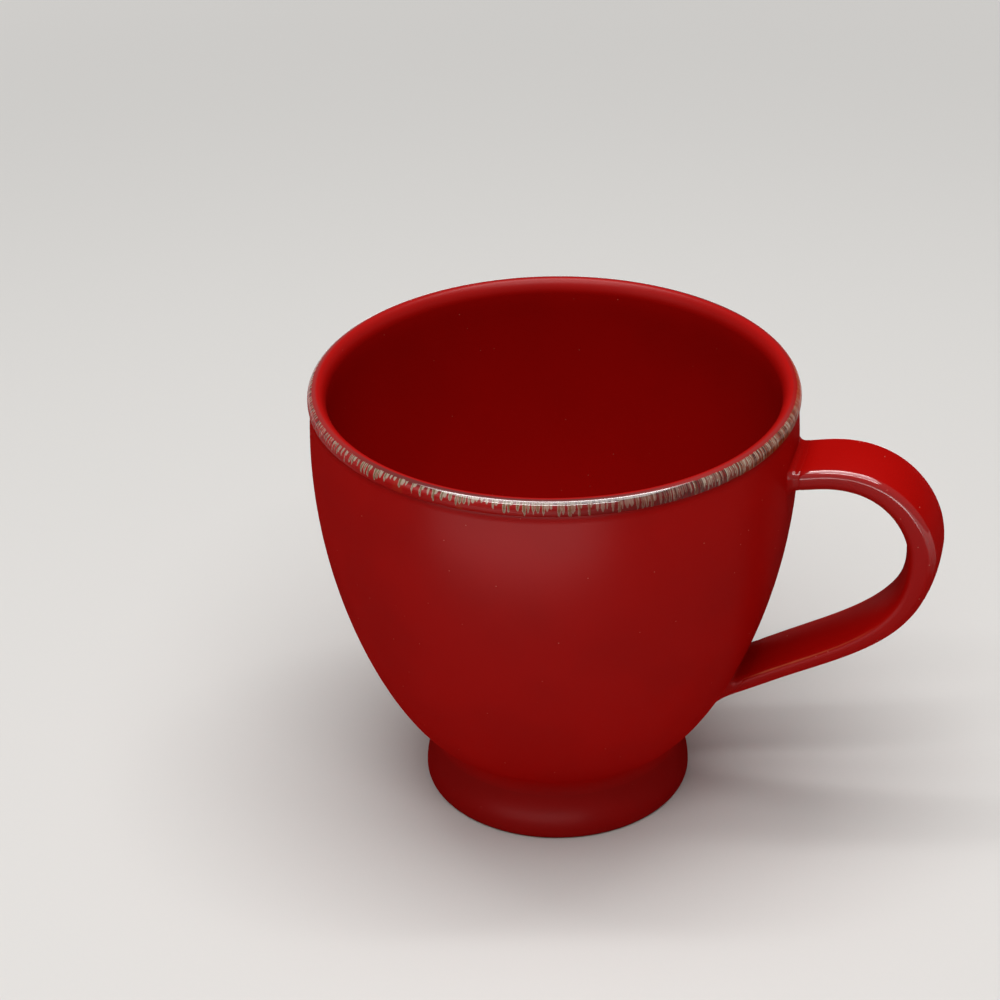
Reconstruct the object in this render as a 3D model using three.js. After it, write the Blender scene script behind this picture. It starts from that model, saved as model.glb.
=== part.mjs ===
// A footed stoneware mug: a turned bowl with a rolled lip, a foot ring luted under it with slip, and a
// strap handle luted to the wall at two places. Millimetres, +Z up, the handle along +X.
import * as THREE from 'three';

// Driving dimensions, in millimetres and degrees

// Bowl: the lip overhangs a short upright neck, and the wall swells from the waist up to the neck
const RIM_DIAMETER = 100;
const HEIGHT = 94.7;
const LIP_OVERHANG = 0.35;
const LIP_WIDTH = 3.8;
const LIP_HEIGHT = 3.1;
const LIP_CREST_ROUND = 1.9;
const NECK_HEIGHT = 2.2;
const NECK_RECESS = 0.3;
const WALL = 3.4;
const WALL_RISE = 36.2;
const WALL_SWELL = 2.8;
const BELLY_ANGLE = 37.5;
const BELLY_PULL = 9.5;
const FLOOR = 5.6;
const FLOOR_FLAT_DIAMETER = 24;

// Foot: a ring that flares from the waist down to a rounded edge and a flat standing face
const FOOT_DIAMETER = 57.3;
const FOOT_HEIGHT = 10.5;
const FOOT_FLARE = 1.4;
const FOOT_EDGE_ROUND = 1;
const STANDING_WIDTH = 4.2;
const RECESS_EDGE_ROUND = 0.8;
const RECESS_DRAFT = 0.9;
const WAIST_FILLET = 5.2;

// Strap handle: its rise from the upper joint, its bend, its tail at the lower joint, and its section
const HANDLE_DROP = 13.9;
const RISE_ANGLE = 19.4;
const RISE_PULL = 21.2;
const BEND_STANDOFF = 27.5;
const BEND_DROP = 14.4;
const BEND_PULL_UP = 5.8;
const BEND_PULL_DOWN = 22.5;
const TAIL_HEIGHT = 28;
const TAIL_ANGLE = 37.7;
const TAIL_PULL = 21.3;
const STRAP_WIDTH = 15.2;
const STRAP_TOP_THICKNESS = 5;
const STRAP_BEND_THICKNESS = 6.3;
const STRAP_TAIL_THICKNESS = 4.3;
const STRAP_TAIL_TAPER = 3;
const STRAP_EDGE_ROUND = 1.7;
const STRAP_OUTER_CROWN = 0.6;
const STRAP_INNER_CROWN = 0.9;

// Slip joints: the bed under the bowl, the collars at the handle, and the clearance of curved seats
const FOOT_LUTE = 0.8;
const HANDLE_LUTE = 2.2;
const LUTE_SPREAD = 1.6;
const SEAT_GAP = 0.3;

// Facets of the turned pieces and of the strap
const TURNS = 64;
const BELLY_STEPS = 12;
const CURVE_STEPS = 5;
const ROUND_STEPS = 3;
const STRAP_STEPS = 22;
const COLLAR_STEPS = 4;
const CAP_STEPS = 3;

// Sizes that follow from the driving dimensions
const rimRadius = RIM_DIAMETER / 2;
const beadZ = HEIGHT - LIP_HEIGHT;
const shoulderRadius = rimRadius - LIP_OVERHANG;
const shoulderZ = beadZ - NECK_HEIGHT;
const footRadius = FOOT_DIAMETER / 2;
const waistRadius = footRadius - FOOT_FLARE;
const standingRadius = footRadius - FOOT_EDGE_ROUND;
const recessRadius = standingRadius - STANDING_WIDTH - RECESS_EDGE_ROUND;
const recessTopRadius = recessRadius - RECESS_DRAFT;
const seatZ = FOOT_HEIGHT + FOOT_LUTE;
const floorZ = seatZ + FLOOR;

const radians = THREE.MathUtils.degToRad;
const at = (x, y) => new THREE.Vector2(x, y);
const polar = (angle, length) => at(length * Math.cos(radians(angle)), length * Math.sin(radians(angle)));
const middle = (a, b) => (a + b) / 2;

function arc(center, radius, from, to) {
  const curve = new THREE.EllipseCurve(
    center.x, center.y, radius, radius, radians(from), radians(to), to < from);
  return curve.getPoints(ROUND_STEPS);
}

// Outside of the bowl: a fillet leaves the waist upright and turns out, then one curve swells up to the neck
const filletCenter = at(waistRadius + WAIST_FILLET, seatZ);
const bellyStart = filletCenter.clone().add(polar(90 + BELLY_ANGLE, WAIST_FILLET));
const belly = new THREE.CubicBezierCurve(
  bellyStart,
  bellyStart.clone().add(polar(BELLY_ANGLE, BELLY_PULL)),
  at(shoulderRadius + WALL_SWELL, shoulderZ - WALL_RISE),
  at(shoulderRadius, shoulderZ));

// The wall's outer radius and its lean, change of radius over change of height, at one height
const HALVINGS = 40;

function wallAt(z) {
  let low = 0;
  let high = 1;
  for (let halving = 0; halving < HALVINGS; halving += 1) {
    const half = middle(low, high);
    if (belly.getPoint(half).y < z) {
      low = half;
    } else {
      high = half;
    }
  }
  const tangent = belly.getTangent(high);
  return { radius: belly.getPoint(high).x, lean: tangent.x / tangent.y };
}

// Inside of the wall, from the neck down: the belly moved in by the wall's thickness, clear of the floor
function insideOfWall() {
  const points = [];
  for (let step = BELLY_STEPS; step > 0; step -= 1) {
    const along = step / BELLY_STEPS;
    const tangent = belly.getTangent(along);
    const inwards = at(-tangent.y, tangent.x);
    points.push(belly.getPoint(along).addScaledVector(inwards, WALL));
  }
  return points.filter((point) => point.y > floorZ + WALL);
}

// The turn from the wall's inside to the flat of the floor
function floorTurn(inside) {
  const [beforeLast, last] = inside.slice(-2);
  const down = last.clone().sub(beforeLast);
  const corner = last.clone().addScaledVector(down, (floorZ - last.y) / down.y);
  const turn = new THREE.QuadraticBezierCurve(last, corner, at(FLOOR_FLAT_DIAMETER / 2, floorZ));
  return turn.getPoints(CURVE_STEPS).slice(1);
}

// A rolled lip: a bead that stands out over the neck, a round crest and a bevel that rolls inwards
function lip() {
  const crest = at(rimRadius - LIP_CREST_ROUND, HEIGHT - LIP_CREST_ROUND);
  const insideRadius = rimRadius - LIP_WIDTH;
  const bead = new THREE.CubicBezierCurve(
    at(shoulderRadius - NECK_RECESS, beadZ), at(rimRadius, beadZ),
    at(rimRadius, middle(beadZ, crest.y)), at(rimRadius, crest.y));
  const bevel = new THREE.CubicBezierCurve(
    at(crest.x, HEIGHT), at(middle(crest.x, insideRadius), HEIGHT),
    at(insideRadius, middle(HEIGHT, beadZ)), at(insideRadius, beadZ));
  return [
    ...bead.getPoints(CURVE_STEPS),
    ...arc(crest, LIP_CREST_ROUND, 0, 90).slice(1),
    ...bevel.getPoints(CURVE_STEPS).slice(1),
  ];
}

// A profile in (radius, height) turned about the upright axis
function turned(profile) {
  const geometry = new THREE.LatheGeometry(profile, TURNS);
  geometry.rotateX(Math.PI / 2);
  return geometry;
}

function bowl() {
  const inside = insideOfWall();
  return turned([
    at(0, seatZ),
    ...arc(filletCenter, WAIST_FILLET, 180, 90 + BELLY_ANGLE),
    ...belly.getPoints(BELLY_STEPS).slice(1),
    ...lip(),
    ...inside,
    ...floorTurn(inside),
    at(0, floorZ),
  ]);
}

function footRing() {
  const edge = arc(at(standingRadius, FOOT_EDGE_ROUND), FOOT_EDGE_ROUND, -90, 0);
  const flare = new THREE.CubicBezierCurve(
    at(footRadius, FOOT_EDGE_ROUND), at(footRadius, FOOT_HEIGHT / 2),
    at(waistRadius, FOOT_HEIGHT / 2), at(waistRadius, FOOT_HEIGHT));
  const recessEdge = arc(
    at(recessRadius + RECESS_EDGE_ROUND, RECESS_EDGE_ROUND), RECESS_EDGE_ROUND, 180, 270);
  return turned([
    ...edge,
    ...flare.getPoints(CURVE_STEPS).slice(1),
    at(recessTopRadius, FOOT_HEIGHT),
    ...recessEdge,
    edge[0].clone(),
  ]);
}

// The bed of slip between the foot ring and the bowl
function footLute() {
  return turned([
    at(recessTopRadius, FOOT_HEIGHT),
    at(waistRadius, FOOT_HEIGHT),
    at(waistRadius, seatZ),
    at(recessTopRadius, seatZ),
    at(recessTopRadius, FOOT_HEIGHT),
  ]);
}

// Middle line of the strap, in the upright plane through the axis: from the wall to the bend and back
const upperJoint = at(wallAt(HEIGHT - HANDLE_DROP).radius, HEIGHT - HANDLE_DROP);
const lowerJoint = at(wallAt(TAIL_HEIGHT).radius, TAIL_HEIGHT);
const bend = at(shoulderRadius + BEND_STANDOFF, upperJoint.y - BEND_DROP);
const upperArm = new THREE.CubicBezierCurve(
  upperJoint,
  upperJoint.clone().add(polar(RISE_ANGLE, RISE_PULL)),
  bend.clone().add(at(0, BEND_PULL_UP)),
  bend);
const lowerArm = new THREE.CubicBezierCurve(
  bend,
  bend.clone().add(at(0, -BEND_PULL_DOWN)),
  lowerJoint.clone().add(polar(TAIL_ANGLE, TAIL_PULL)),
  lowerJoint);

// One stop along the strap: its centre, direction of travel, outward side and thickness
function strapStop(arm, along, thickness) {
  const point = arm.getPointAt(along);
  const tangent = arm.getTangentAt(along);
  return {
    center: new THREE.Vector3(point.x, 0, point.y),
    travel: new THREE.Vector3(tangent.x, 0, tangent.y),
    outward: new THREE.Vector3(-tangent.y, 0, tangent.x),
    thickness,
  };
}

// The upper arm thickens evenly to the bend, and the lower arm soon thins from the bend to its tail
function strapStops() {
  const stops = [];
  for (let step = 0; step < STRAP_STEPS; step += 1) {
    const along = step / STRAP_STEPS;
    const thickness = THREE.MathUtils.lerp(STRAP_TOP_THICKNESS, STRAP_BEND_THICKNESS, along);
    stops.push(strapStop(upperArm, along, thickness));
  }
  for (let step = 0; step <= STRAP_STEPS; step += 1) {
    const along = step / STRAP_STEPS;
    const bendShare = (1 - along) ** STRAP_TAIL_TAPER;
    const thickness = THREE.MathUtils.lerp(STRAP_TAIL_THICKNESS, STRAP_BEND_THICKNESS, bendShare);
    stops.push(strapStop(lowerArm, along, thickness));
  }
  return stops;
}

// One face of the strap's section, from its right edge to its left: a crown between two rounded edges
function crownedFace(side, level, round, crown) {
  const flat = side - round;
  const slope = Math.atan2(2 * crown, flat);
  const quarter = 90 - THREE.MathUtils.radToDeg(slope);
  const right = arc(at(flat, level - round), round, 0, quarter);
  const left = arc(at(-flat, level - round), round, 180 - quarter, 180);
  const start = right[ROUND_STEPS];
  const peak = at(0, start.y + start.x * Math.tan(slope));
  const top = new THREE.QuadraticBezierCurve(start, peak, left[0]);
  return [...right, ...top.getPoints(CURVE_STEPS).slice(1, -1), ...left];
}

// Section of the strap: a crowned outer face and a crowned inner face, grown to the sides and the faces
function strapOutline(thickness, growth) {
  const side = STRAP_WIDTH / 2 + growth.x;
  const innerLevel = thickness / 2 + growth.y;
  const outerLevel = innerLevel - STRAP_OUTER_CROWN;
  const round = Math.min(STRAP_EDGE_ROUND, middle(innerLevel, outerLevel));
  const outer = crownedFace(side, outerLevel, round, STRAP_OUTER_CROWN);
  const inner = crownedFace(side, innerLevel, round, STRAP_INNER_CROWN);
  return [...outer, ...inner.map((point) => point.negate())];
}

const AS_IT_IS = at(0, 0);
const sideways = new THREE.Vector3(0, 1, 0);

// The section at a stop, drawn in by a share towards its centre
function sectionRing(stop, growth = AS_IT_IS, share = 1) {
  return strapOutline(stop.thickness, growth).map((point) => stop.center.clone()
    .addScaledVector(sideways, point.x * share)
    .addScaledVector(stop.outward, point.y * share));
}

// Distance of a point from the bowl's wall, measured square to the wall
function wallClearance(point) {
  const wall = wallAt(point.z);
  return (Math.hypot(point.x, point.y) - wall.radius) / Math.hypot(1, wall.lean);
}

// Points slid along a direction until each lies at one distance from the wall
const SLIDE_ROUNDS = 60;
const SLIDE_SHARE = 0.5;

function slideToWall(ring, direction, distance) {
  return ring.map((point) => {
    const slid = point.clone();
    for (let round = 0; round < SLIDE_ROUNDS; round += 1) {
      slid.addScaledVector(direction, SLIDE_SHARE * (wallClearance(slid) - distance));
    }
    return slid;
  });
}

// Shares of a ring from its edge down to a point at its middle
const shrinking = Array.from({ length: CAP_STEPS + 1 }, (_, step) => 1 - step / CAP_STEPS);

// A closed skin over rings of equal length; the first and the last ring are drawn in to a point
function skin(rings) {
  const size = rings[0].length;
  const positions = rings.flatMap((ring) => ring.flatMap((point) => point.toArray()));
  const indices = [];
  for (let row = 0; row + 1 < rings.length; row += 1) {
    for (let column = 0; column < size; column += 1) {
      const here = row * size + column;
      const beside = row * size + (column + 1) % size;
      if (row > 0) {
        indices.push(here, beside, here + size);
      }
      if (row + 2 < rings.length) {
        indices.push(beside, beside + size, here + size);
      }
    }
  }
  const geometry = new THREE.BufferGeometry();
  geometry.setAttribute('position', new THREE.Float32BufferAttribute(positions, 3));
  geometry.setIndex(indices);
  return geometry;
}

// The strap between its two luted ends, each mitred to the curve of the wall
function handle() {
  const seat = HANDLE_LUTE + SEAT_GAP;
  const clear = strapStops().filter((stop) => sectionRing(stop)
    .every((point) => wallClearance(point) > seat + SEAT_GAP));
  const mitre = (stop, direction) => shrinking.map(
    (share) => slideToWall(sectionRing(stop, AS_IT_IS, share), direction, seat));
  const first = clear[0];
  const last = clear[clear.length - 1];
  return skin([
    ...mitre(first, first.travel.clone().negate()).reverse(),
    ...clear.map((stop) => sectionRing(stop)),
    ...mitre(last, last.travel),
  ]);
}

// A collar of slip that fills the mitre of a luted end and flares out over the wall
const inwards = new THREE.Vector3(-1, 0, 0);

function handleLute(stop) {
  const wall = wallAt(stop.center.z);
  const square = new THREE.Vector3(1, 0, -wall.lean).normalize();
  const faceShare = Math.abs(stop.travel.dot(square));
  const leavesWall = stop.travel.dot(inwards) < 0;
  const towardsWall = stop.travel.clone().multiplyScalar(leavesWall ? -1 : 1);
  const ring = (spread, distance, share) => {
    const growth = at(spread, spread * faceShare);
    const mitre = slideToWall(sectionRing(stop, growth, share), towardsWall, HANDLE_LUTE);
    return slideToWall(mitre, inwards, distance);
  };
  const flare = [];
  for (let step = 1; step < COLLAR_STEPS; step += 1) {
    const turn = radians(90) * step / COLLAR_STEPS;
    const rise = (HANDLE_LUTE - SEAT_GAP) * (1 - Math.cos(turn));
    flare.push(ring(LUTE_SPREAD * (1 - Math.sin(turn)), SEAT_GAP + rise));
  }
  const fromWall = [
    ...shrinking.map((share) => ring(LUTE_SPREAD, SEAT_GAP, share)).reverse(),
    ...flare,
    ...shrinking.map((share) => ring(0, HANDLE_LUTE, share)),
  ];
  return skin(leavesWall ? fromWall : fromWall.reverse());
}

// Finishes
const GLAZE_RED = 0x820a07;
const STRAP_RED = 0x8a1410;
const FOOT_RED = 0x6e0503;
const SLIP_RED = 0x780806;
const SATIN = 0.35;
const DULL = 0.45;

function piece(name, geometry, color, roughness) {
  const material = new THREE.MeshStandardMaterial({ color, roughness, metalness: 0 });
  const mesh = new THREE.Mesh(geometry, material);
  mesh.name = name;
  return mesh;
}

const stops = strapStops();
const mug = new THREE.Group();
mug.add(
  piece('bowl', bowl(), GLAZE_RED, SATIN),
  piece('foot_lute', footLute(), SLIP_RED, DULL),
  piece('foot_ring', footRing(), FOOT_RED, DULL),
  piece('handle', handle(), STRAP_RED, SATIN),
  piece('upper_handle_lute', handleLute(stops[0]), SLIP_RED, DULL),
  piece('lower_handle_lute', handleLute(stops[stops.length - 1]), SLIP_RED, DULL),
);

// The origin is under the middle of the whole outline, on the surface that the foot stands on
const outline = new THREE.Box3().setFromObject(mug);
mug.position.x = -middle(outline.min.x, outline.max.x);
const part = new THREE.Group();
part.add(mug);

export default part;
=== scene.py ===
import math

import bmesh
import bpy
from bpy.props import FloatProperty, FloatVectorProperty, IntProperty, PointerProperty
from mathutils import Matrix, Vector
from mathutils.geometry import interpolate_bezier


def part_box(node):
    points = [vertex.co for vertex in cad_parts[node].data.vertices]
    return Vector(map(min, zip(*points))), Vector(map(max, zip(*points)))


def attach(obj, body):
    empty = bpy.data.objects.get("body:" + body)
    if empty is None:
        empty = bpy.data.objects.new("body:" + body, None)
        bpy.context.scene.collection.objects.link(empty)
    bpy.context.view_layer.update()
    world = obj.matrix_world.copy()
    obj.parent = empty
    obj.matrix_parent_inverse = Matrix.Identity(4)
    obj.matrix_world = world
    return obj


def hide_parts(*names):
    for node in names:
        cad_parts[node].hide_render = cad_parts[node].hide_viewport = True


bl_info = {
    "name": "Stoneware Mug",
    "version": (1, 0, 0),
    "blender": (4, 5, 0),
    "location": "View3D > Sidebar > Mug",
    "description": "Throws, lutes and glazes a footed stoneware mug with a strap handle",
    "category": "Add Mesh",
}

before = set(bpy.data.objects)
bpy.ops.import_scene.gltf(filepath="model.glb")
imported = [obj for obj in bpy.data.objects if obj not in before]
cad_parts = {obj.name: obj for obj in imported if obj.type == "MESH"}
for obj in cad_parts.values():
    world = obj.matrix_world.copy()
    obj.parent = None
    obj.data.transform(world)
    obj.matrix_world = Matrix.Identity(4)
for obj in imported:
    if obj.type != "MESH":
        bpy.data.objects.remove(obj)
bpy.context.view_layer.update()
BOWL_LOW, BOWL_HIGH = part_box("bowl")
AXIS = Vector(((BOWL_LOW.x + BOWL_HIGH.x) / 2, (BOWL_LOW.y + BOWL_HIGH.y) / 2, 0.0))
MM = 0.001


def length(name, description, default):
    return FloatProperty(
        name=name, description=description, default=default, unit="LENGTH", precision=5
    )


def angle(name, description, degrees):
    return FloatProperty(
        name=name, description=description, default=math.radians(degrees),
        subtype="ANGLE", unit="ROTATION",
    )


def amount(name, description, default):
    return FloatProperty(name=name, description=description, default=default, min=0.0)


def colour(name, description, red, green, blue):
    """A colour property, with its default given as it looks on a screen, 0 to 255."""
    shades = [shade / 255 for shade in (red, green, blue)]
    default = [s / 12.92 if s <= 0.04045 else ((s + 0.055) / 1.055) ** 2.4 for s in shades]
    return FloatVectorProperty(
        name=name, description=description, default=default, size=3,
        subtype="COLOR", min=0.0, max=1.0,
    )


class BowlSizes(bpy.types.PropertyGroup):
    rim_diameter: length(
        "Rim diameter", "Across the outside of the rolled lip", BOWL_HIGH.x - BOWL_LOW.x
    )
    height: length("Height", "From the standing face to the crest of the lip", BOWL_HIGH.z)
    lip_overhang: length("Lip overhang", "How far the bead stands out over the shoulder", 0.35 * MM)
    lip_width: length("Lip width", "From the bead's outside to the mouth", 3.8 * MM)
    lip_height: length("Lip height", "From the bead's underside to its crest", 3.1 * MM)
    crest_round: length("Crest round", "Round of the bead's outer edge", 1.9 * MM)
    groove_depth: length("Groove depth", "How far the neck draws in under the bead", 0.3 * MM)
    neck_height: length("Neck height", "From the shoulder to the bead's underside", 2.2 * MM)
    wall: length("Wall", "Thickness of the thrown wall", 3.4 * MM)
    wall_rise: length("Wall rise", "How long the wall stays near upright", 36.2 * MM)
    wall_swell: length("Wall swell", "How far the wall is drawn out below the shoulder", 2.8 * MM)
    belly_angle: angle("Belly angle", "Slope of the wall where it leaves the waist", 37.5)
    belly_pull: length("Belly pull", "How long the wall keeps that slope", 9.5 * MM)
    waist_fillet: length("Waist fillet", "Round between the waist and the belly", 5.2 * MM)
    floor: length("Floor", "Thickness of the floor", 5.6 * MM)
    floor_flat: length("Flat of the floor", "Across the level middle of the floor", 24.0 * MM)


class FootSizes(bpy.types.PropertyGroup):
    diameter: length("Diameter", "Across the foot's widest line", 57.3 * MM)
    height: length("Height", "From the standing face to the bed of slip", 10.5 * MM)
    flare: length("Flare", "How far the foot widens below the waist", 1.4 * MM)
    edge_round: length("Edge round", "Round of the outer lower edge", 1.0 * MM)
    standing_width: length("Standing width", "Width of the flat face it stands on", 4.2 * MM)
    recess_round: length("Recess round", "Round of the inner lower edge", 0.8 * MM)
    recess_draft: length("Recess draft", "How far the recess narrows upwards", 0.9 * MM)


class StrapSizes(bpy.types.PropertyGroup):
    drop: length("Drop", "From the crest of the lip to the upper joint", 13.9 * MM)
    rise_angle: angle("Rise angle", "Slope of the strap where it leaves the wall", 19.4)
    rise_pull: length("Rise pull", "How long the strap keeps that slope", 21.2 * MM)
    standoff: length("Standoff", "From the wall to the strap's middle line at the bend", 27.47 * MM)
    bend_drop: length("Bend drop", "From the upper joint down to the bend", 14.4 * MM)
    pull_up: length("Pull up", "How long the bend stays upright above", 5.8 * MM)
    pull_down: length("Pull down", "How long the bend stays upright below", 22.5 * MM)
    tail_height: length("Tail height", "From the standing face to the lower joint", 28.0 * MM)
    tail_angle: angle("Tail angle", "Slope of the strap at the lower joint", 37.7)
    tail_pull: length("Tail pull", "How long the tail keeps that slope", 21.3 * MM)
    width: length("Width", "Across the strap", 15.2 * MM)
    top_thickness: length("Thickness at the top", "Where it leaves the wall", 5.0 * MM)
    bend_thickness: length("Thickness at the bend", "Where it turns down", 6.3 * MM)
    tail_thickness: length("Thickness at the tail", "Where it meets the wall again", 4.3 * MM)
    tail_taper: amount("Tail taper", "How soon the strap thins below the bend", 3.0)
    edge_round: length("Edge round", "Round of the strap's four edges", 1.7 * MM)
    outer_crown: length("Outer crown", "How much the outer face bulges", 0.6 * MM)
    inner_crown: length("Inner crown", "How much the inner face bulges", 0.9 * MM)


class SlipSizes(bpy.types.PropertyGroup):
    bed: length("Bed", "Thickness of the slip between the foot and the bowl", 0.8 * MM)
    collar: length("Collar", "Length of the slip between the strap and the wall", 2.2 * MM)
    spread: length("Spread", "How far a collar flares out over the wall", 1.6 * MM)
    groove: length("Groove", "Depth of the line between a collar and the strap", 0.07 * MM)
    sink: length("Sink", "How deep a collar's edge melts into the wall", 0.12 * MM)


class GlazeLook(bpy.types.PropertyGroup):
    red: colour("Red", "The glaze where it lies even", 161, 8, 5)
    # The deep red lies where the glaze pools; it is also painted as shade inside the bowl and on
    # the foot.
    pool_and_shade_red: colour("Deep red", "The glaze where it pools", 138, 6, 4)
    # Break red is glaze thinning over the strap's inner edges, and also a painted highlight on them
    # low on the strap.
    break_highlight_red: colour("Break red", "The glaze where it thins over an edge", 214, 108, 72)
    speck: colour("Speck", "Pinholes and light grains in the glaze", 206, 120, 104)
    rust: colour("Rust", "Dark ticks and ground of the streaked lip", 62, 20, 17)
    ash: colour("Ash", "Pale edges of the lip's drips", 164, 149, 131)
    olive: colour("Olive", "Dull cores of the lip's drips", 94, 82, 40)
    amber: colour("Amber", "Warm glints of the streaked lip", 168, 84, 38)
    clay: colour("Clay", "Bare clay on the standing face", 176, 138, 108)
    gloss: amount("Roughness", "Roughness of the satin glaze", 0.35)
    sheen: amount("Sheen", "Share of light that the satin skin turns back", 0.0045)
    lip_sheen: amount("Lip sheen", "Further share on the bevel inside the lip", 0.015)
    edge_gloss: amount("Edge roughness", "Roughness of the clear glaze on the edges", 0.06)
    clear_index: amount("Clear index", "Refractive index of the clear glaze", 1.9)


class StageLook(bpy.types.PropertyGroup):
    floor: colour("Floor", "The pale floor", 214, 212, 209)
    far_floor: colour("Far floor", "The floor far off, as it is seen", 220, 218, 215)
    surround: amount("Surround", "Level of the even light from all sides", 0.2)
    panel: amount("Panel", "Power of the large soft panel overhead in watts", 7.4)
    strip: amount("Strip", "Power of each of the two narrow lamps overhead in watts", 3.0)
    fill: amount("Fill", "Power of the soft lamp to the left in watts", 0.35)
    card: amount("Card", "Power of the low card that shows only in the gloss, in watts", 0.5)
    card_behind: amount("Card behind", "Power of a like card behind the mug, in watts", 0.2)
    lens: FloatProperty(name="Lens", description="Focal length", default=93.6, unit="CAMERA")
    turn: angle("Turn", "How far the camera stands round from the handle's side", 14.0)
    distance: length("Distance", "From the mug's axis to the camera, level", 466.85 * MM)
    height: length("Height", "Of the camera over the floor", 339.14 * MM)
    yaw: angle("Yaw", "Of the view, to the right", -1.4037)
    pitch: angle("Pitch", "Of the view, downwards", 30.2778)
    roll: angle("Roll", "Of the camera about its view", -1.2934)


class MugSettings(bpy.types.PropertyGroup):
    bowl: PointerProperty(type=BowlSizes, name="Bowl", description="Sizes of the bowl")
    foot: PointerProperty(type=FootSizes, name="Foot", description="Sizes of the foot ring")
    strap: PointerProperty(type=StrapSizes, name="Strap", description="Sizes of the strap handle")
    slip: PointerProperty(type=SlipSizes, name="Slip", description="Sizes of the slip joints")
    glaze: PointerProperty(type=GlazeLook, name="Glaze", description="Colours and gloss")
    stage: PointerProperty(type=StageLook, name="Stage", description="Floor, lamps and camera")
    turns: IntProperty(name="Turns", description="Facets round a turned piece", default=160, min=16)


def at(radius, height):
    """A point in the upright plane through the mug's axis."""
    return Vector((radius, 0.0, height))


def polar(turn, reach):
    return at(reach * math.cos(turn), reach * math.sin(turn))


def arc(center, radius, start, end, steps):
    """Points of a round in the upright plane, from one angle in degrees to another."""
    turns = [math.radians(start + (end - start) * step / steps) for step in range(steps + 1)]
    return [center + polar(turn, radius) for turn in turns]


def curve(start, start_pull, end_pull, end, steps):
    return interpolate_bezier(start, start_pull, end_pull, end, steps + 1)


def evenly(points, steps):
    """The points of a line, spaced evenly, each with its direction of travel."""
    reach = [0.0]
    for before, after in zip(points, points[1:]):
        reach.append(reach[-1] + (after - before).length)
    stops = []
    place = 0
    for step in range(steps + 1):
        target = reach[-1] * step / steps
        while place + 2 < len(points) and reach[place + 1] < target:
            place += 1
        along = points[place + 1] - points[place]
        share = (target - reach[place]) / (reach[place + 1] - reach[place])
        stops.append((points[place].lerp(points[place + 1], share), along.normalized()))
    return stops


class MugForm:
    """The mug's curves in the upright plane through its axis, from the middle of its foot."""

    FINE = 240
    WALL_STEPS = 48
    SLIDE_ROUNDS = 80
    SLIDE_SHARE = 0.5

    def __init__(self, mug):
        bowl, foot, slip = mug.bowl, mug.foot, mug.slip
        self.rim = bowl.rim_diameter / 2
        self.bead_z = bowl.height - bowl.lip_height
        self.shoulder = self.rim - bowl.lip_overhang
        self.shoulder_z = self.bead_z - bowl.neck_height
        self.waist = foot.diameter / 2 - foot.flare
        self.standing = foot.diameter / 2 - foot.edge_round
        self.recess = self.standing - foot.standing_width - foot.recess_round
        self.recess_top = self.recess - foot.recess_draft
        self.seat_z = foot.height + slip.bed
        self.floor_z = self.seat_z + bowl.floor
        self.fillet = at(self.waist + bowl.waist_fillet, self.seat_z)
        start = self.fillet + polar(math.radians(90) + bowl.belly_angle, bowl.waist_fillet)
        self.belly = curve(
            start,
            start + polar(bowl.belly_angle, bowl.belly_pull),
            at(self.shoulder + bowl.wall_swell, self.shoulder_z - bowl.wall_rise),
            at(self.shoulder, self.shoulder_z),
            self.FINE,
        )

    def wall_at(self, height):
        """The wall's outer radius and its lean at one height."""
        low, high = 0, len(self.belly) - 1
        while high - low > 1:
            half = (low + high) // 2
            if self.belly[half].z < height:
                low = half
            else:
                high = half
        below, above = self.belly[low], self.belly[high]
        lean = (above.x - below.x) / (above.z - below.z)
        share = min(max((height - below.z) / (above.z - below.z), 0.0), 1.0)
        return below.x + share * (above.x - below.x), lean

    def clearance(self, point):
        """Distance of a point from the outside of the wall, square to the wall."""
        radius, lean = self.wall_at(point.z)
        return (math.hypot(point.x, point.y) - radius) / math.hypot(1.0, lean)

    def slid(self, point, direction, distance):
        """The point moved along a direction until it lies at one distance from the wall."""
        point = point.copy()
        for _ in range(self.SLIDE_ROUNDS):
            point += direction * (self.SLIDE_SHARE * (self.clearance(point) - distance))
        return point


def bowl_profile(form, bowl):
    bottom = arc(form.fillet, bowl.waist_fillet, 180, 90 + math.degrees(bowl.belly_angle), 8)
    stride = form.FINE // form.WALL_STEPS
    outside = form.belly[stride::stride]

    shoulder = outside[-1]
    groove = at(form.shoulder - bowl.groove_depth, form.bead_z)
    round_center = at(form.rim - bowl.crest_round, bowl.height - bowl.crest_round)
    mouth = at(form.rim - bowl.lip_width, form.bead_z)
    neck = curve(
        shoulder, shoulder.lerp(at(shoulder.x, groove.z), 0.5),
        groove.lerp(at(groove.x, shoulder.z), 0.35), groove, 8,
    )
    widest = at(form.rim, round_center.z)
    below_widest = at(form.rim, groove.z)
    bead = curve(groove, below_widest, widest.lerp(below_widest, 0.5), widest, 10)
    crown = arc(round_center, bowl.crest_round, 0, 90, 10)
    over_mouth = at(mouth.x, bowl.height)
    crest = crown[-1]
    bevel = curve(crest, crest.lerp(over_mouth, 0.5), mouth.lerp(over_mouth, 0.5), mouth, 14)

    inside = []
    for here in range(form.FINE, 0, -stride):
        along = (form.belly[here] - form.belly[here - 1]).normalized()
        inside.append(form.belly[here] + Vector((-along.z, 0.0, along.x)) * bowl.wall)
    inside = [point for point in inside if point.z > form.floor_z + bowl.wall]
    down = inside[-1] - inside[-2]
    corner = inside[-1] + down * ((form.floor_z - inside[-1].z) / down.z)
    flat = at(bowl.floor_flat / 2, form.floor_z)
    turn = curve(inside[-1], inside[-1].lerp(corner, 2 / 3), flat.lerp(corner, 2 / 3), flat, 14)
    return [
        at(0.0, form.seat_z), *bottom, *outside, *neck[1:], *bead[1:], *crown[1:], *bevel[1:],
        *inside, *turn[1:], at(0.0, form.floor_z),
    ]


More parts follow.
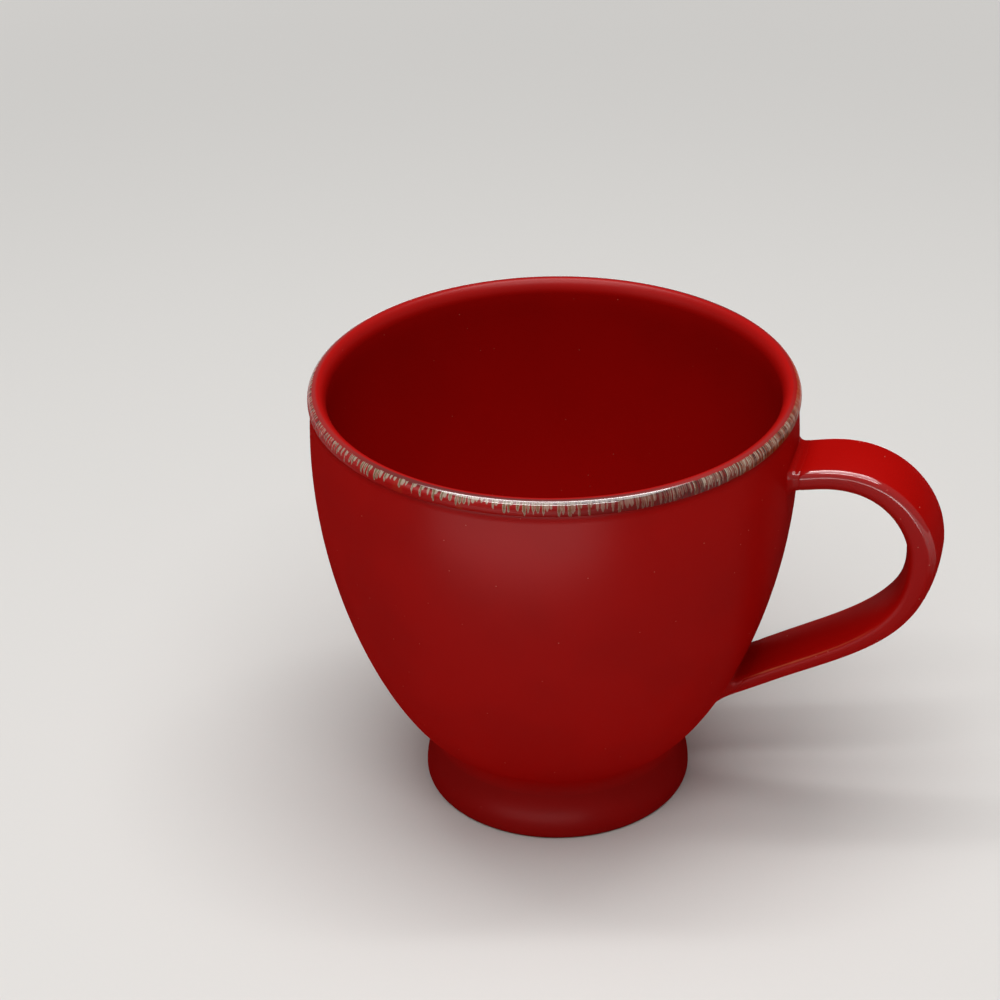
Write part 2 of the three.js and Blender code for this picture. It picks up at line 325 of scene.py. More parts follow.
def foot_profile(form, foot):
    halfway = foot.height / 2
    edge = arc(at(form.standing, foot.edge_round), foot.edge_round, -90, 0, 8)
    flare = curve(
        edge[-1], at(foot.diameter / 2, halfway),
        at(form.waist, halfway), at(form.waist, foot.height), 16,
    )
    round_center = at(form.recess + foot.recess_round, foot.recess_round)
    inner = arc(round_center, foot.recess_round, 180, 270, 6)
    return [*edge, *flare[1:], at(form.recess_top, foot.height), *inner]


def bed_profile(form, foot):
    return [
        at(form.recess_top, foot.height), at(form.waist, foot.height),
        at(form.waist, form.seat_z), at(form.recess_top, form.seat_z),
    ]


def turned(profile, turns, closed=False):
    """A profile spun about the mug's axis."""
    mesh = bmesh.new()
    verts = [mesh.verts.new(point + AXIS) for point in profile]
    pairs = list(zip(verts, verts[1:]))
    if closed:
        pairs.append((verts[-1], verts[0]))
    edges = [mesh.edges.new(pair) for pair in pairs]
    bmesh.ops.spin(
        mesh, geom=verts + edges, cent=AXIS, axis=(0, 0, 1), dvec=(0, 0, 0),
        angle=math.tau, steps=turns, use_merge=True,
    )
    bmesh.ops.remove_doubles(mesh, verts=mesh.verts, dist=0.001 * MM)
    bmesh.ops.recalc_face_normals(mesh, faces=mesh.faces)
    return mesh


def mark_inside_shade(mesh, form, bowl):
    """Marks painted shade inside the bowl: none at the lip, and most on the floor."""
    inside_shade = mesh.verts.layers.float.new("inside_shade")
    lowest = form.floor_z - 0.1 * MM
    innermost = -1.5 * MM
    for vert in mesh.verts:
        if vert.co.z > lowest and form.clearance(vert.co - AXIS) < innermost:
            vert[inside_shade] = (bowl.height - vert.co.z) / (bowl.height - form.floor_z)


EDGE_STEPS = 8
CROWN_STEPS = 10


def crowned_face(side, level, edge_round, crown):
    """One face of the strap's section, right to left: a crown between two rounded edges."""
    flat = side - edge_round
    slope = math.atan2(2.0 * crown, flat)
    quarter = 90.0 - math.degrees(slope)
    right = arc(at(flat, level - edge_round), edge_round, 0.0, quarter, EDGE_STEPS)
    left = arc(at(-flat, level - edge_round), edge_round, 180.0 - quarter, 180.0, EDGE_STEPS)
    start, end = right[-1], left[0]
    peak = at(0.0, start.z + start.x * math.tan(slope))
    top = curve(start, start.lerp(peak, 2 / 3), end.lerp(peak, 2 / 3), end, CROWN_STEPS)
    return [*right, *top[1:-1], *left]


def strap_section(strap, thickness):
    """Points of the strap's section, across and through: its outer face, then its inner face."""
    side = strap.width / 2
    inner_level = thickness / 2
    outer_level = inner_level - strap.outer_crown
    outer = crowned_face(side, outer_level, strap.edge_round, strap.outer_crown)
    inner = crowned_face(side, inner_level, strap.edge_round, strap.inner_crown)
    return [*outer, *(-point for point in inner)]


def section_arris():
    """How near each point lies to an edge: up to 1 at the outer edges, -1 at the inner ones."""
    edge = [math.sin(math.pi * step / EDGE_STEPS) for step in range(EDGE_STEPS + 1)]
    outer = [*edge, *[0.0] * (CROWN_STEPS - 1), *edge]
    return [*outer, *(-mark for mark in outer)]


class StrapLoft:
    """A strap that is extruded from ring to ring; every ring keeps the section's order."""

    def __init__(self, ring):
        self.mesh = bmesh.new()
        self.order = self.mesh.verts.layers.int.new("order")
        arris = self.mesh.verts.layers.float.new("arris")
        verts = []
        for number, (point, mark) in enumerate(zip(ring, section_arris())):
            vert = self.mesh.verts.new(point)
            vert[self.order] = number
            vert[arris] = mark
            verts.append(vert)
        self.cap = self.mesh.faces.new(verts)

    def extend(self, cap, ring):
        """Extrudes a cap to a new ring and gives back the new cap."""
        is_first = len(self.mesh.faces) == 1
        made = bmesh.ops.extrude_face_region(self.mesh, geom=[cap])
        new_cap = next(item for item in made["geom"] if isinstance(item, bmesh.types.BMFace))
        for vert in new_cap.verts:
            vert.co = ring[vert[self.order]]
        if not is_first:
            bmesh.ops.delete(self.mesh, geom=[cap], context="FACES_ONLY")
        return new_cap

    def closed(self):
        """Closes both caps, moves the strap to the mug's axis and gives back its mesh."""
        bmesh.ops.poke(self.mesh, faces=[face for face in self.mesh.faces if len(face.verts) > 4])
        bmesh.ops.translate(self.mesh, verts=self.mesh.verts, vec=AXIS)
        bmesh.ops.recalc_face_normals(self.mesh, faces=self.mesh.faces)
        self.mesh.verts.layers.int.remove(self.order)
        return self.mesh


class StrapStop:
    """One place along the strap's middle line, with its section."""

    def __init__(self, center, travel, section):
        self.center = center
        self.travel = travel
        self.outward = Vector((-travel.z, 0.0, travel.x))
        self.section = section
        self.half_width = max(point.x for point in section)
        self.half_thickness = max(point.z for point in section)

    def ring(self, wider=0.0, thicker=0.0):
        """The section at this stop, grown to its sides and faces."""
        across = Vector((0.0, (self.half_width + wider) / self.half_width, 0.0))
        through = self.outward * ((self.half_thickness + thicker) / self.half_thickness)
        return [self.center + across * point.x + through * point.z for point in self.section]


STRAP_STEPS = 44


def strap_stops(form, mug):
    strap = mug.strap
    top_z = mug.bowl.height - strap.drop
    top = at(form.wall_at(top_z)[0], top_z)
    tail = at(form.wall_at(strap.tail_height)[0], strap.tail_height)
    bend = at(form.shoulder + strap.standoff, top.z - strap.bend_drop)
    upper = curve(
        top, top + polar(strap.rise_angle, strap.rise_pull),
        bend + at(0.0, strap.pull_up), bend, form.FINE,
    )
    lower = curve(
        bend, bend - at(0.0, strap.pull_down),
        tail + polar(strap.tail_angle, strap.tail_pull), tail, form.FINE,
    )
    stops = []
    for number, (center, travel) in enumerate(evenly(upper, STRAP_STEPS)[:-1]):
        share = number / STRAP_STEPS
        thickness = strap.top_thickness + share * (strap.bend_thickness - strap.top_thickness)
        stops.append(StrapStop(center, travel, strap_section(strap, thickness)))
    for number, (center, travel) in enumerate(evenly(lower, STRAP_STEPS)):
        share = (1.0 - number / STRAP_STEPS) ** strap.tail_taper
        thickness = strap.tail_thickness + share * (strap.bend_thickness - strap.tail_thickness)
        stops.append(StrapStop(center, travel, strap_section(strap, thickness)))
    return stops


# How the strap's ends and the collars are eased into each other.
ROUND_OFF = 1.2 * MM
ROUND_OFF_TURNS = (0.0, 30.0, 55.0, 75.0, 90.0)
SPARE = 0.3 * MM
BROW = 0.8 * MM
BROW_STEPS = 4
FLARE_STEPS = 8


def free_stops(form, mug):
    """The strap's stops that lie clear of both collars."""
    clear = mug.slip.collar + ROUND_OFF + SPARE
    return [
        stop for stop in strap_stops(form, mug)
        if min(form.clearance(point) for point in stop.ring()) > clear
    ]


def strap_mesh(form, mug):
    """The strap, mitred to the wall at both ends and rounded off into the collars' grooves."""
    slip = mug.slip
    stops = free_stops(form, mug)
    loft = StrapLoft(stops[0].ring())
    ahead = loft.cap
    for stop in stops[1:]:
        ahead = loft.extend(ahead, stop.ring())
    back = next(face for face in loft.mesh.faces if len(face.verts) > 4 and face is not ahead)
    first, last = stops[0], stops[-1]
    for cap, stop, to_wall in ((back, first, -first.travel), (ahead, last, last.travel)):
        for degrees in ROUND_OFF_TURNS:
            turn = math.radians(degrees)
            inset = slip.groove * (1.0 - math.cos(turn))
            distance = slip.collar + ROUND_OFF * (1.0 - math.sin(turn))
            ring = [form.slid(point, to_wall, distance) for point in stop.ring(-inset, -inset)]
            cap = loft.extend(cap, ring)
    return loft.closed()


def collar_mesh(form, mug, stop):
    """A collar of slip that flares from the strap's end over the wall, less where they slant."""
    slip = mug.slip
    lean = form.wall_at(stop.center.z)[1]
    square = Vector((1.0, 0.0, -lean)).normalized()
    share = abs(stop.travel.dot(square)) ** 3
    to_wall = -stop.travel if stop.travel.x > 0.0 else stop.travel
    neck = slip.collar - BROW

    def ring(spread, distance):
        grown = stop.ring(spread, spread * share)
        return [form.slid(point, to_wall, distance) for point in grown]

    rings = []
    for step in range(FLARE_STEPS + 1):
        turn = math.radians(90) * step / FLARE_STEPS
        rise = (neck + slip.sink) * (1.0 - math.cos(turn))
        rings.append(ring(slip.spread * (1.0 - math.sin(turn)), rise - slip.sink))
    for step in range(1, BROW_STEPS + 1):
        turn = math.radians(90) * step / BROW_STEPS
        inset = slip.groove * (1.0 - math.cos(turn))
        rings.append(ring(-inset, neck + BROW * math.sin(turn)))
    loft = StrapLoft(rings[0])
    cap = loft.cap
    for step in rings[1:]:
        cap = loft.extend(cap, step)
    return loft.closed()


CREASE = math.radians(40)


def set_out(mesh, name, material, slot, *nodes):
    """Makes an object of a finished mesh, in the place of the solids that it stands for."""
    for face in mesh.faces:
        face.smooth = True
    for edge in mesh.edges:
        edge.smooth = len(edge.link_faces) == 2 and edge.calc_face_angle(0.0) < CREASE
    data = bpy.data.meshes.new(name)
    mesh.to_mesh(data)
    mesh.free()
    data.materials.append(material)
    piece = bpy.data.objects.new(name, data)
    bpy.context.scene.collection.objects.link(piece)
    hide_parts(*nodes)
    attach(piece, "root")


class Value:
    """A shader socket that can be used in sums."""

    def __init__(self, finish, socket):
        self.finish = finish
        self.socket = socket

    def sum_with(self, operation, first, second):
        return self.finish.node("ShaderNodeMath", {"operation": operation}, {0: first, 1: second})

    def __add__(self, other):
        return self.sum_with("ADD", self, other)

    def __radd__(self, other):
        return self.sum_with("ADD", other, self)

    def __sub__(self, other):
        return self.sum_with("SUBTRACT", self, other)

    def __rsub__(self, other):
        return self.sum_with("SUBTRACT", other, self)

    def __mul__(self, other):
        return self.sum_with("MULTIPLY", self, other)

    def __rmul__(self, other):
        return self.sum_with("MULTIPLY", other, self)

    def __truediv__(self, other):
        return self.sum_with("DIVIDE", self, other)

    def __rtruediv__(self, other):
        return self.sum_with("DIVIDE", other, self)


class Finish:
    """A material, made node by node."""

    def __init__(self, name):
        self.material = bpy.data.materials.new(name)
        self.material.use_nodes = True
        self.tree = self.material.node_tree
        self.tree.nodes.clear()

    def node(self, kind, settings=None, sockets=None, output=0):
        """Adds a node with its settings and its sockets' values or links; gives back one output."""
        node = self.tree.nodes.new(kind)
        for key, value in (settings or {}).items():
            setattr(node, key, value)
        for key, value in (sockets or {}).items():
            if isinstance(value, Value):
                self.tree.links.new(value.socket, node.inputs[key])
            else:
                node.inputs[key].default_value = value
        return None if output is None else Value(self, node.outputs[output])

    def place(self):
        """Where a point is, in millimetres from the middle of the foot."""
        here = self.node("ShaderNodeTexCoord", output="Object")
        return self.scaled(self.vector("SUBTRACT", {0: here, 1: AXIS}), 1 / MM)

    def vector(self, operation, sockets, output="Vector"):
        return self.node("ShaderNodeVectorMath", {"operation": operation}, sockets, output)

    def scaled(self, vector, scale):
        return self.vector("SCALE", {0: vector, "Scale": scale})

    def part(self, vector, axis):
        return self.node("ShaderNodeSeparateXYZ", None, {0: vector}, axis)

    def mark(self, name):
        """A value that the mesh carries."""
        return self.node("ShaderNodeAttribute", {"attribute_name": name}, None, "Fac")

    def noise(self, vector, grain, detail=2.0, roughness=0.5):
        """Cloudy noise, with grains of about one size in the vector's units."""
        return self.node(
            "ShaderNodeTexNoise", {"noise_dimensions": "3D"},
            {"Vector": vector, "Scale": 1 / grain, "Detail": detail, "Roughness": roughness}, "Fac",
        )

    def row(self, along, spacing):
        """Uneven places along a line: how far the nearest is, and two chance values of its own."""
        nearest = self.node(
            "ShaderNodeTexVoronoi", {"voronoi_dimensions": "1D", "feature": "F1"},
            {"W": along, "Scale": 1 / spacing, "Randomness": 0.85}, "Distance",
        )
        shade = Value(self, nearest.socket.node.outputs["Color"])
        chance = self.node("ShaderNodeSeparateColor", None, {0: shade})
        return nearest * spacing, chance, Value(self, chance.socket.node.outputs[1])

    def ramp(self, value, low, high):
        """0 below low and 1 above high, with a soft step between them."""
        return self.node(
            "ShaderNodeMapRange", {"interpolation_type": "SMOOTHSTEP"},
            {"Value": value, "From Min": low, "From Max": high},
        )

    def blend(self, share, first, second):
        """A colour that goes from the first to the second with the share."""
        sockets = {0: share}
        for key, shade in ((6, first), (7, second)):
            sockets[key] = shade if isinstance(shade, Value) else (*shade, 1.0)
        return self.node("ShaderNodeMix", {"data_type": "RGBA"}, sockets, 2)

    def bump(self, relief):
        """A normal from a relief in millimetres."""
        sockets = {"Strength": 1.0, "Distance": MM, "Height": relief}
        return self.node("ShaderNodeBump", None, sockets, "Normal")

    def surface(self, base, roughness, relief, look, clear=0.0, sheen=None):
        """A coloured body under a thin satin skin, with a share of clear gloss over it."""
        shared = {"Roughness": roughness, "Normal": self.bump(relief)}
        body = self.node(
            "ShaderNodeBsdfPrincipled", None,
            {
                **shared, "Base Color": base, "Specular IOR Level": 0.0, "Coat Weight": clear,
                "Coat Roughness": look.edge_gloss, "Coat IOR": look.clear_index,
            },
        )
        white = (1.0, 1.0, 1.0, 1.0)
        skin = self.node(
            "ShaderNodeBsdfPrincipled", None, {**shared, "Base Color": white, "Metallic": 1.0}
        )
        share = look.sheen if sheen is None else sheen
        shader = self.node("ShaderNodeMixShader", None, {0: share, 1: body, 2: skin})
        self.node("ShaderNodeOutputMaterial", None, {"Surface": shader}, None)
        return self.material


def satin_glaze(finish, place, look):
    """Colour, roughness and relief of the red glaze: soft pools, a fine skin and pinholes."""
    pools = finish.ramp(finish.noise(place, grain=22.0), 0.35, 0.7)
    skin = finish.noise(place, grain=0.9, detail=3.0, roughness=0.6)
    sway = finish.noise(place, grain=14.0, detail=1.0)
    pinhole_spacing = 3.5
    cells = finish.node(
        "ShaderNodeTexVoronoi", {"feature": "F1"},
        {"Vector": place, "Scale": 1 / pinhole_spacing}, "Distance",
    )
    pinhole = 1.0 - finish.ramp(cells, 0.02, 0.05)
    base = finish.blend(pools * 0.3, look.red, look.pool_and_shade_red)
    base = finish.blend(pinhole * 0.6, base, look.speck)
    roughness = look.gloss + 0.08 * (skin - 0.5) + 0.12 * pinhole
    relief = 0.005 * skin + 0.04 * sway - 0.03 * pinhole
    return base, roughness, relief


def hanging(finish, around, depth, spacing, width, reach):
    """Drips that hang from the crest: how deep a point lies inside one, and the drip's chance."""
    beside, chance, other = finish.row(around, spacing)
    share = depth / (reach * (0.45 + chance))
    blunt = share * share * share * share
    return width * (0.3 + 0.4 * other) * (1.0 - blunt) - beside, chance


def lip_sectors(finish, forward, aside):
    """How the lip's dressing changes round the mug, each from 0 to 1.

    It is fuller in front of the handle, bare opposite it, hatched on both of those sides and thin
    just past the handle.
    """
    fuller = finish.ramp(0.9 * forward - 0.43 * aside, 0.4, 0.9)
    bare = finish.ramp(0.0 - forward, 0.3, 0.85)
    hatched = finish.ramp(forward * forward, 0.12, 0.6)
    past = finish.ramp(aside, -0.2, 0.15) * finish.ramp(forward, 0.3, 0.7)
    return fuller, bare, hatched, past


# The lip's dressing, in millimetres round the rim and down from the crest.
DRIP_SPACING, DRIP_WIDTH, DRIP_REACH = 0.95, 0.75, 1.75
TICK_SPACING, TICK_WIDTH, TICK_REACH = 0.44, 0.3, 1.2
GROUND_START = 0.95
BEAD_FADE = (2.7, 3.1)
RUN_STRETCH = 0.5


def bowl_glaze(look, form, bowl):
    """Red glaze with a clear crest, from which pale drips hang over the lip's outer face."""
    finish = Finish("bowl_glaze")
    place = finish.place()
    base, roughness, relief = satin_glaze(finish, place, look)
    # Painted shade inside the bowl, darker down towards its floor.
    base = finish.blend(finish.mark("inside_shade"), base, look.pool_and_shade_red)

    rim = form.rim / MM
    level = finish.vector("MULTIPLY", {0: place, 1: (1.0, 1.0, 0.0)})
    radius = finish.vector("LENGTH", {0: level}, "Value")
    heading = finish.vector("NORMALIZE", {0: level})
    forward = finish.part(heading, "X")
    aside = finish.part(heading, "Y")
    height = finish.part(place, "Z")
    depth = bowl.height / MM - height
    sockets = {0: forward, 1: 0.0 - aside}
    around = finish.node("ShaderNodeMath", {"operation": "ARCTAN2"}, sockets) * rim
    round_rim = finish.scaled(heading, rim)
    upright = finish.node("ShaderNodeCombineXYZ", None, {"Z": height * RUN_STRETCH})
    along_runs = finish.vector("ADD", {0: round_rim, 1: upright})

    fuller, bare, hatched, past = lip_sectors(finish, forward, aside)
    thinned = 1.0 - 0.8 * past
    fray = 0.7 * (finish.noise(along_runs, grain=0.5, detail=3.0, roughness=0.7) - 0.5)
    drip, drip_chance = hanging(
        finish, around, depth, DRIP_SPACING, DRIP_WIDTH - 0.45 * bare, DRIP_REACH + 1.4 * fuller
    )
    tick, tick_chance = hanging(
        finish, around, depth, TICK_SPACING, TICK_WIDTH, TICK_REACH + 2.0 * fuller
    )
    start = (form.rim - bowl.crest_round) / MM + GROUND_START
    on_bead = 1.0 - finish.ramp(depth, *BEAD_FADE)
    ground = finish.ramp(radius - fray, start - 0.1, start + 0.1) * on_bead
    dripped = finish.ramp(drip + fray, -0.05, 0.08) * ground
    core = finish.ramp(drip + fray, 0.1, 0.24) * finish.ramp(drip_chance, 0.3, 0.55)
    flecks = finish.ramp(finish.noise(along_runs, grain=0.45, roughness=0.6), 0.42, 0.56)
    ticked = finish.ramp(tick + 0.5 * fray, -0.03, 0.05) * ground * hatched
    crest = finish.ramp(radius, start - 0.9, start - 0.6) * (1.0 - finish.ramp(depth, 0.3, 0.8))
    glints = finish.ramp(finish.noise(round_rim, grain=4.2, detail=1.0), 0.6, 0.7)
    warm = finish.ramp(forward, 0.75, 0.98) + 0.6 * glints

    rusty = crest * (0.7 - 0.55 * hatched) + ground * 0.65 * fuller * (1.0 - past)
    base = finish.blend(rusty, base, look.rust)
    base = finish.blend(ground * warm * 0.35, base, look.amber)
    drips = finish.blend(core * 0.85, look.ash, look.olive)
    base = finish.blend(dripped * (0.88 - 0.6 * fuller) * thinned, base, drips)
    ticks = finish.blend(finish.ramp(tick_chance, 0.4, 0.52), look.ash, look.rust)
    base = finish.blend(ticked * (0.3 + 0.7 * flecks) * 0.95 * thinned, base, ticks)

    low = finish.ramp(depth, 0.7, 1.6)
    over_lip = finish.ramp(radius, start - 1.2, start - 0.4) * on_bead
    clear = (0.9 - (0.9 - 0.15 * hatched) * low) * over_lip * thinned
    relief = relief + 0.03 * dripped * finish.ramp(depth, 0.7, 1.5)
    mouth = (form.rim - bowl.lip_width) / MM
    inside_crest = 1.0 - finish.ramp(radius, start - 0.6, start)
    bevel = finish.ramp(radius, mouth - 0.6, mouth + 0.4) * inside_crest
    sheen = look.sheen + look.lip_sheen * bevel * (1.0 - finish.ramp(depth, 2.0, 3.4))
    return finish.surface(base, roughness, relief, look, clear, sheen)


# Heights on the handle, in millimetres, between which a finish comes or goes.
UPPER_ARM = (62.0, 78.0)
# Between these heights the warm line on the strap's inner edges is painted strong, as a highlight.
WARM_HIGHLIGHT_LOW = (28.0, 36.0)
WARM_HIGHLIGHT_HIGH = (38.0, 52.0)


def upper_arm(finish, place):
    """1 on the handle's upper arm and 0 below its bend."""
    return finish.ramp(finish.part(place, "Z"), *UPPER_ARM)


def strap_glaze(look):
    """Red glaze, clear along the upper arm's outer edges, with a warm line on the inner edges: thin
    glaze over them, faint on the upper arm and painted strong low down as a highlight.
    """
    finish = Finish("handle_glaze")
    place = finish.place()
    base, roughness, relief = satin_glaze(finish, place, look)
    arris = finish.mark("arris")
    height = finish.part(place, "Z")
    wander = 0.12 * (finish.noise(place, grain=6.0) - 0.5)
    outer = finish.ramp(arris + wander, 0.1, 0.7)
    inner = finish.ramp(wander - arris, 0.92, 1.03)
    above_bend = upper_arm(finish, place)
    highlight_span = finish.ramp(height, *WARM_HIGHLIGHT_LOW) * (1.0 - finish.ramp(height, *WARM_HIGHLIGHT_HIGH))
    # The warm line: thin glaze over the inner edges, and a painted highlight on them low on the
    # strap.
    base = finish.blend(inner * (0.12 * above_bend + 0.6 * highlight_span), base, look.break_highlight_red)
    return finish.surface(base, roughness, relief, look, outer * above_bend * 0.9)


def slip_glaze(look, name):
    """Red glaze over slip, a little deeper, and clear over the upper collar's outer edges."""
    finish = Finish(name)
    place = finish.place()
    base, roughness, relief = satin_glaze(finish, place, look)
    base = finish.blend(0.25, base, look.pool_and_shade_red)
    clear = finish.ramp(finish.mark("arris"), 0.3, 0.9) * upper_arm(finish, place)
    return finish.surface(base, roughness, relief, look, clear * 0.7)


def foot_glaze(look):
    """Red glaze, painted darker as shade under the bowl, with bare, grainy clay on the standing
    face.
    """
    finish = Finish("foot_glaze")
    place = finish.place()
    base, roughness, relief = satin_glaze(finish, place, look)
    ragged = finish.noise(place, grain=1.4, detail=3.0)
    bare = 1.0 - finish.ramp(finish.part(place, "Z") - 0.3 * ragged, 0.0, 0.08)
    # Painted shade: the foot's glaze is darkened, as under the bowl it gets less light.
    base = finish.blend(0.7, base, look.pool_and_shade_red)
    grain = finish.noise(place, grain=0.35, detail=3.0, roughness=0.7)
    dark_clay = [0.7 * shade for shade in look.clay]
    clay = finish.blend(finish.ramp(grain, 0.35, 0.7), look.clay, dark_clay)
    base = finish.blend(bare, base, clay)
    roughness = roughness + 0.5 * bare
    relief = relief + 0.06 * grain * bare
    return finish.surface(base, roughness, relief, look)


def pale_floor(look):
    """Pale paper, which keeps one even tone far from the mug."""
    finish = Finish("pale_floor")
    here = finish.node("ShaderNodeTexCoord", output="Object")
    tooth = finish.noise(finish.scaled(here, 1 / MM), grain=1.2, detail=3.0)
    base = finish.blend(0.06 * tooth, look.floor, [0.8 * shade for shade in look.floor])
    paper = finish.node(
        "ShaderNodeBsdfPrincipled", None,
        {
            "Base Color": base, "Roughness": 0.9, "Specular IOR Level": 0.0,
            "Normal": finish.bump(0.01 * tooth),
        },
    )
    far_tone = (*look.far_floor, 1.0)
    tone = finish.node("ShaderNodeEmission", None, {"Color": far_tone, "Strength": 1.0})
    far = finish.ramp(finish.vector("LENGTH", {0: here}, "Value"), 0.3, 0.8)
    rays = ("Is Camera Ray", "Is Glossy Ray", "Is Transmission Ray")
    camera, glossy, through = (finish.node("ShaderNodeLightPath", output=ray) for ray in rays)
    seen = camera + glossy + through
    shader = finish.node("ShaderNodeMixShader", None, {0: seen * far, 1: paper, 2: tone})
    finish.node("ShaderNodeOutputMaterial", None, {"Surface": shader}, None)
    return finish.material


class MUG_OT_throw_bowl(bpy.types.Operator):
    """Throw the bowl with its rolled lip and glaze it"""

    bl_idname = "mug.throw_bowl"
    bl_label = "Throw the Bowl"

    def execute(self, context):
        mug = context.scene.mug
        form = MugForm(mug)
        mesh = turned(bowl_profile(form, mug.bowl), mug.turns)
        mark_inside_shade(mesh, form, mug.bowl)
        set_out(mesh, "thrown_bowl", bowl_glaze(mug.glaze, form, mug.bowl), "bowl_glaze", "bowl")
        return {"FINISHED"}


class MUG_OT_lute_foot(bpy.types.Operator):
    """Turn the foot ring and its bed of slip"""

    bl_idname = "mug.lute_foot"
    bl_label = "Lute the Foot"

    def execute(self, context):
        mug = context.scene.mug
        form = MugForm(mug)
        ring = turned(foot_profile(form, mug.foot), mug.turns, closed=True)
        set_out(ring, "flared_foot", foot_glaze(mug.glaze), "foot_glaze", "foot_ring")
        bed = turned(bed_profile(form, mug.foot), mug.turns, closed=True)
        set_out(bed, "foot_slip_bed", slip_glaze(mug.glaze, "foot_slip"), "foot_slip", "foot_lute")
        return {"FINISHED"}


class MUG_OT_pull_handle(bpy.types.Operator):
    """Pull the strap handle and bend it to the wall"""

    bl_idname = "mug.pull_handle"
    bl_label = "Pull the Handle"

    def execute(self, context):
        mug = context.scene.mug
        mesh = strap_mesh(MugForm(mug), mug)
        set_out(mesh, "strap_handle", strap_glaze(mug.glaze), "handle_glaze", "handle")
        return {"FINISHED"}


class MUG_OT_dress_joints(bpy.types.Operator):
    """Dress both handle joints with collars of slip"""

    bl_idname = "mug.dress_joints"
    bl_label = "Dress the Joints"

    def execute(self, context):
        mug = context.scene.mug
        form = MugForm(mug)
        stops = free_stops(form, mug)
        slip = slip_glaze(mug.glaze, "handle_slip")
        for name, stop, node in (
            ("upper_slip_collar", stops[0], "upper_handle_lute"),
            ("lower_slip_collar", stops[-1], "lower_handle_lute"),
        ):
            set_out(collar_mesh(form, mug, stop), name, slip, "handle_slip", node)
        return {"FINISHED"}


FLOOR_RADIUS = 4.0
FLOOR_DROP = 0.02 * MM
AIM_HEIGHT = 0.05
SENSOR_WIDTH = 36.0


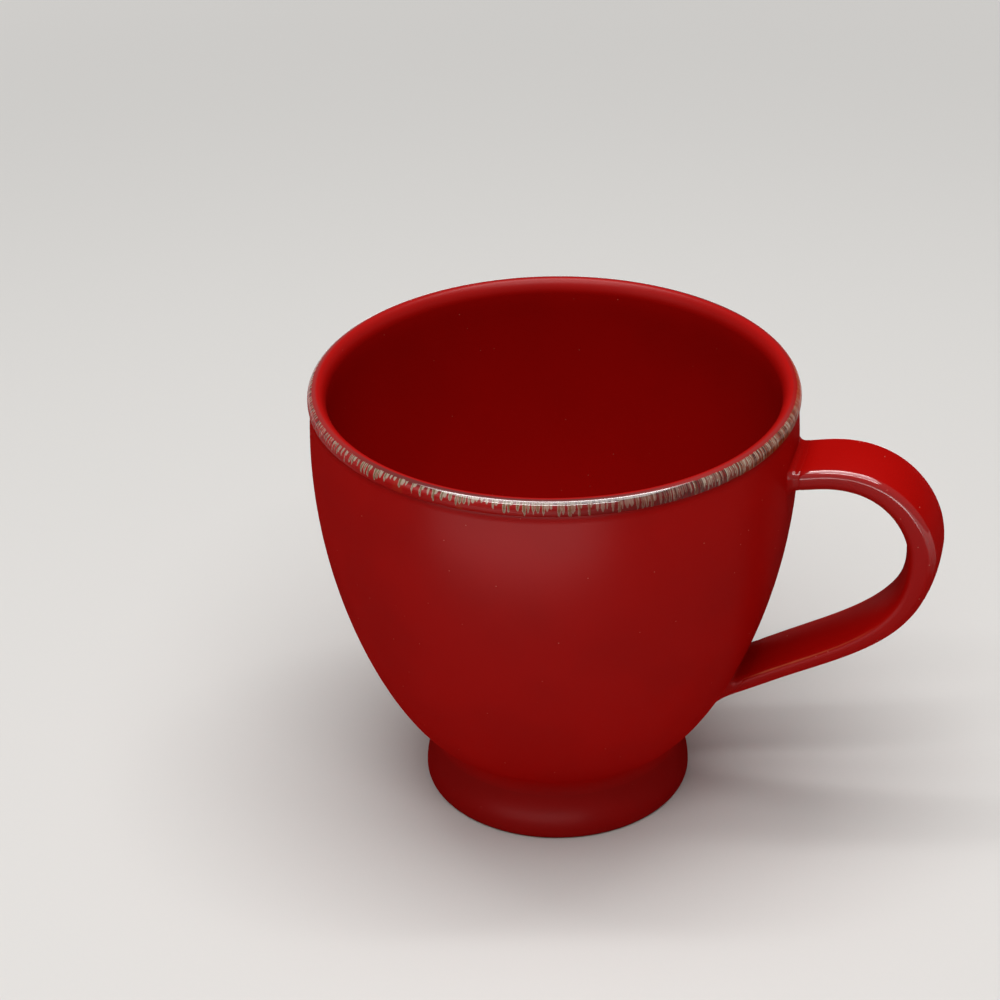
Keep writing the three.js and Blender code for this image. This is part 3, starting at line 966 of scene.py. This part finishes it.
class MUG_OT_set_stage(bpy.types.Operator):
    """Lay the floor, hang the lamps and stand the camera"""

    bl_idname = "mug.set_stage"
    bl_label = "Set the Stage"

    def lay_floor(self, scene, look):
        mesh = bmesh.new()
        bmesh.ops.create_circle(mesh, cap_ends=True, radius=FLOOR_RADIUS, segments=128)
        bmesh.ops.translate(mesh, verts=mesh.verts, vec=(0.0, 0.0, -FLOOR_DROP))
        data = bpy.data.meshes.new("floor")
        mesh.to_mesh(data)
        mesh.free()
        data.materials.append(pale_floor(look))
        floor = bpy.data.objects.new("floor", data)
        scene.collection.objects.link(floor)

    def light_surround(self, scene, look):
        world = bpy.data.worlds.new("surround")
        world.use_nodes = True
        background = world.node_tree.nodes["Background"]
        background.inputs["Color"].default_value = (1.0, 1.0, 1.0, 1.0)
        background.inputs["Strength"].default_value = look.surround
        scene.world = world

    def hang_lamp(self, scene, name, power, size, place, gloss_only):
        data = bpy.data.lights.new(name, "AREA")
        data.shape = "RECTANGLE"
        data.size, data.size_y = size
        data.energy = power
        lamp = bpy.data.objects.new(name, data)
        lamp.location = place
        aim = AXIS + Vector((0.0, 0.0, AIM_HEIGHT)) - place
        lamp.rotation_euler = aim.to_track_quat("-Z", "Y").to_euler()
        lamp.visible_camera = False
        lamp.visible_diffuse = not gloss_only
        scene.collection.objects.link(lamp)

    def stand_camera(self, scene, look, turn):
        view = Vector((
            math.sin(look.yaw) * math.cos(look.pitch),
            math.cos(look.yaw) * math.cos(look.pitch),
            -math.sin(look.pitch),
        ))
        level = Vector((math.cos(look.yaw), -math.sin(look.yaw), 0.0))
        over = level.cross(view)
        right = math.cos(look.roll) * level + math.sin(look.roll) * over
        up = math.cos(look.roll) * over - math.sin(look.roll) * level
        basis = Matrix((right, up, -view)).transposed().to_4x4()
        data = bpy.data.cameras.new("camera")
        data.lens = look.lens
        data.sensor_width = SENSOR_WIDTH
        camera = bpy.data.objects.new("camera", data)
        stand = Matrix.Translation(Vector((0.0, -look.distance, look.height)))
        camera.matrix_world = Matrix.Translation(AXIS) @ turn @ stand @ basis
        scene.collection.objects.link(camera)
        scene.camera = camera

    def execute(self, context):
        scene = context.scene
        look = scene.mug.stage
        turn = Matrix.Rotation(look.turn, 4, "Z")
        self.lay_floor(scene, look)
        self.light_surround(scene, look)
        for name, power, size, place, gloss_only in (
            ("panel", look.panel, (1.1, 0.7), (0.0, -0.1, 1.06), False),
            ("strip_over", look.strip, (0.9, 0.06), (0.0, 0.07, 1.05), False),
            ("strip_forward", look.strip, (0.9, 0.06), (-0.03, -0.62, 0.97), False),
            ("fill", look.fill, (0.6, 0.6), (-0.75, -0.55, 0.5), False),
            ("card", look.card, (0.24, 0.1), (-0.045, -0.17, 0.004), True),
            ("card_behind", look.card_behind, (0.24, 0.1), (0.045, 0.17, 0.004), True),
        ):
            self.hang_lamp(scene, name, power, size, AXIS + turn @ Vector(place), gloss_only)
        self.stand_camera(scene, look, turn)
        scene.view_settings.view_transform = "Standard"
        return {"FINISHED"}


class MUG_PT_bench(bpy.types.Panel):
    """The mug's pieces and stage, in making order"""

    bl_idname = "MUG_PT_bench"
    bl_label = "Stoneware Mug"
    bl_space_type = "VIEW_3D"
    bl_region_type = "UI"
    bl_category = "Mug"

    def draw(self, context):
        column = self.layout.column(align=True)
        for operator in OPERATORS:
            column.operator(operator.bl_idname)
        mug = context.scene.mug
        for group in (mug.bowl, mug.foot, mug.strap, mug.slip, mug.glaze, mug.stage):
            box = self.layout.box()
            for key in group.__annotations__:
                box.prop(group, key)


OPERATORS = (
    MUG_OT_throw_bowl, MUG_OT_lute_foot, MUG_OT_pull_handle, MUG_OT_dress_joints, MUG_OT_set_stage
)
GROUPS = (BowlSizes, FootSizes, StrapSizes, SlipSizes, GlazeLook, StageLook, MugSettings)


def register():
    for kind in (*GROUPS, *OPERATORS, MUG_PT_bench):
        bpy.utils.register_class(kind)
    bpy.types.Scene.mug = PointerProperty(type=MugSettings)


def unregister():
    del bpy.types.Scene.mug
    for kind in reversed((*GROUPS, *OPERATORS, MUG_PT_bench)):
        bpy.utils.unregister_class(kind)


def main():
    register()
    bpy.ops.mug.throw_bowl()
    bpy.ops.mug.lute_foot()
    bpy.ops.mug.pull_handle()
    bpy.ops.mug.dress_joints()
    bpy.ops.mug.set_stage()


if __name__ == "__main__":
    main()
